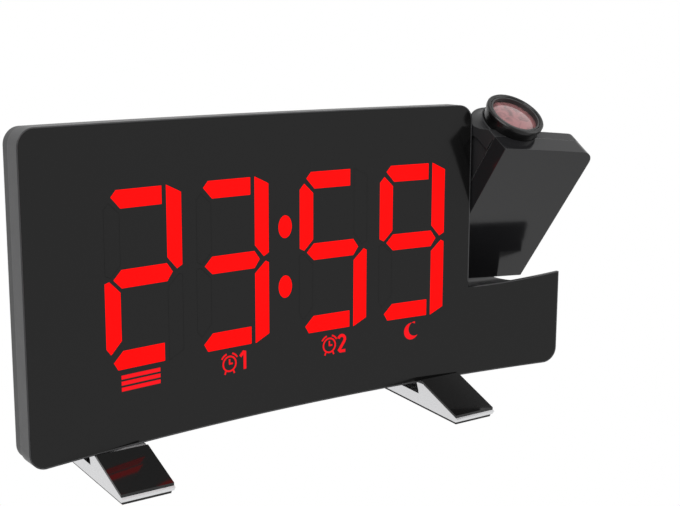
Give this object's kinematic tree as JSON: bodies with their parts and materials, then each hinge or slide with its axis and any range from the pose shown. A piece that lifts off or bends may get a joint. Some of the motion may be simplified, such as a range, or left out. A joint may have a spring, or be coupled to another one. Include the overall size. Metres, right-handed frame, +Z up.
{
  "type": "projection alarm clock",
  "caption": "Slim curved desk clock with a seven-segment display, wedge feet, rear keys and sockets, and a tilting projector arm with a focus ring.",
  "frame": {"origin": "on the table under the middle of the object's bounding box", "axes": "+X along the width towards the arm, +Y from the display towards the back, +Z up"},
  "size_m": [0.19, 0.0554, 0.0997],
  "materials": {
    "frame_black": "satin",
    "panel_smoked": "polished",
    "segment_red": "satin, lit",
    "segment_dark": "satin",
    "reflector_white": "satin",
    "board": "satin",
    "steel": "satin",
    "housing_black": "fine texture",
    "switch_plastic": "satin",
    "key_black": "satin",
    "speaker_metal": "satin",
    "socket_plastic": "satin",
    "rubber": "matte",
    "brass": "satin",
    "bush_plastic": "satin",
    "arm_black": "polished",
    "led_lens": "clear",
    "glass": "polished",
    "ring_black": "satin",
    "aluminium": "satin",
    "plate_black": "polished"
  },
  "bodies": {
    "clock": {"antenna_grommet": "rubber", "battery_contact": "brass", "battery_door": "housing_black", "battery_door_screw": "steel", "board_screws": "steel", "coin_cell": "steel", "colon_dots": "segment_red", "cover_screws": "steel", "digit_hour_ones": "segment_red", "digit_hour_tens": "segment_red", "digit_minute_ones": "segment_red", "digit_minute_tens": "segment_red", "display_board": "board", "display_reflector": "reflector_white", "display_screws": "steel", "foot_left": "aluminium", "foot_pad_left": "rubber", "foot_pad_right": "rubber", "foot_plate_left": "plate_black", "foot_plate_right": "plate_black", "foot_right": "aluminium", "foot_screws": "steel", "friction_washer": "steel", "front_frame": "frame_black", "front_panel": "panel_smoked", "hinge_bush": "bush_plastic", "key_board": "board", "main_board": "board", "power_socket": "socket_plastic", "rear_cover": "housing_black", "speaker": "speaker_metal", "tact_switches": "switch_plastic", "unlit_segments": "segment_dark", "usb_port": "steel"},
    "arm": {"arm_front_cover": "arm_black", "arm_rear_cover": "housing_black", "arm_screws": "steel", "hinge_shaft": "steel", "shaft_clip": "steel", "projector_board": "board", "projector_led": "led_lens", "optics_tube": "bush_plastic", "condenser_lens": "glass", "lcd_slide": "glass", "arm_key_board": "board", "arm_board_screws": "steel", "arm_switch": "switch_plastic"},
    "focus_ring": {"focus_ring": "ring_black"},
    "lens": {"lens_cell": "bush_plastic", "projection_lens": "glass"},
    "projection_button": {"projection_button": "key_black"},
    "mode_button": {"mode_button": "key_black"},
    "up_button": {"up_button": "key_black"},
    "down_button": {"down_button": "key_black"},
    "alarm_button": {"alarm_button": "key_black"},
    "radio_button": {"radio_button": "key_black"},
    "snooze_button": {"snooze_button": "key_black"}
  },
  "joints": [
    {"name": "arm_tilt", "type": "hinge", "parent": "clock", "child": "arm", "pos_m": [0.057, 0.00786, 0.06588], "axis": [1, 0, 0], "range_deg": [-125.3, 54.7]},
    {"name": "focus_turn", "type": "hinge", "parent": "arm", "child": "focus_ring", "pos_m": [0.0707, -0.00867, 0.09223], "axis": [0, -0.515, 0.8572], "range_deg": [-60, 60]},
    {"name": "lens_travel", "type": "slide", "parent": "arm", "child": "lens", "axis": [0, -0.515, 0.8572], "range_m": [-0.001, 0.001]},
    {"name": "projection_button_press", "type": "slide", "parent": "arm", "child": "projection_button", "axis": [0, -0.8572, -0.515], "range_m": [0, 0.0008], "stiffness_N_per_m": 400, "springref_m": -0.0006},
    {"name": "mode_button_press", "type": "slide", "parent": "clock", "child": "mode_button", "axis": [0, -0.9972, 0.075], "range_m": [0, 0.0008], "stiffness_N_per_m": 400, "springref_m": -0.0006},
    {"name": "up_button_press", "type": "slide", "parent": "clock", "child": "up_button", "axis": [0, -0.9972, 0.075], "range_m": [0, 0.0008], "stiffness_N_per_m": 400, "springref_m": -0.0006},
    {"name": "down_button_press", "type": "slide", "parent": "clock", "child": "down_button", "axis": [0, -0.9972, 0.075], "range_m": [0, 0.0008], "stiffness_N_per_m": 400, "springref_m": -0.0006},
    {"name": "alarm_button_press", "type": "slide", "parent": "clock", "child": "alarm_button", "axis": [0, -0.9972, 0.075], "range_m": [0, 0.0008], "stiffness_N_per_m": 400, "springref_m": -0.0006},
    {"name": "radio_button_press", "type": "slide", "parent": "clock", "child": "radio_button", "axis": [0, -0.9972, 0.075], "range_m": [0, 0.0008], "stiffness_N_per_m": 400, "springref_m": -0.0006},
    {"name": "snooze_button_press", "type": "slide", "parent": "clock", "child": "snooze_button", "axis": [0, -0.075, -0.9972], "range_m": [0, 0.0008], "stiffness_N_per_m": 400, "springref_m": -0.0006}
  ],
  "couplings": [
    {"joint": "focus_turn", "follows": "lens_travel", "rad_per_m": 1030}
  ]
}
